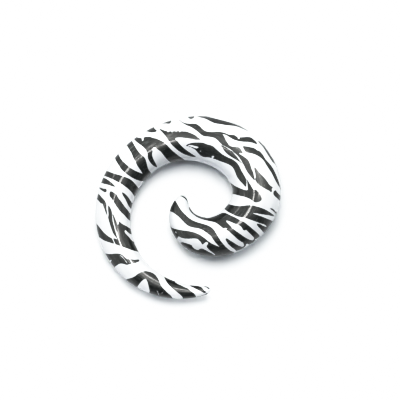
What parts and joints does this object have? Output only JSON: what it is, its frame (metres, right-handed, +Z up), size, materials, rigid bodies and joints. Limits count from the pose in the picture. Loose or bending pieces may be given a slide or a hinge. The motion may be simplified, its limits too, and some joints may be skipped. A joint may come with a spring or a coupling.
{
  "type": "spiral ear taper",
  "caption": "Thick acrylic rod bent into a flat spiral, blunt head curled inwards and outer coil tapering to a point, glossy white with a black zebra print.",
  "frame": {"origin": "on the table, under the middle of the spiral's bounding box as it rests on its side", "axes": "+Z up from the table, through the side of the spiral that faces the viewer; +Y towards the top of the coil, where the rod leaves its thickest stretch; +X towards the thickest turn, with the tail's tip at the -Y side pointing along +X"},
  "size_m": [0.0448, 0.0442, 0.012],
  "materials": {
    "printed_acrylic": "white acrylic with black zebra stripes printed round it, under a clear high-gloss coat"
  },
  "bodies": {
    "root": {"spiral_taper": "printed_acrylic"}
  },
  "joints": []
}
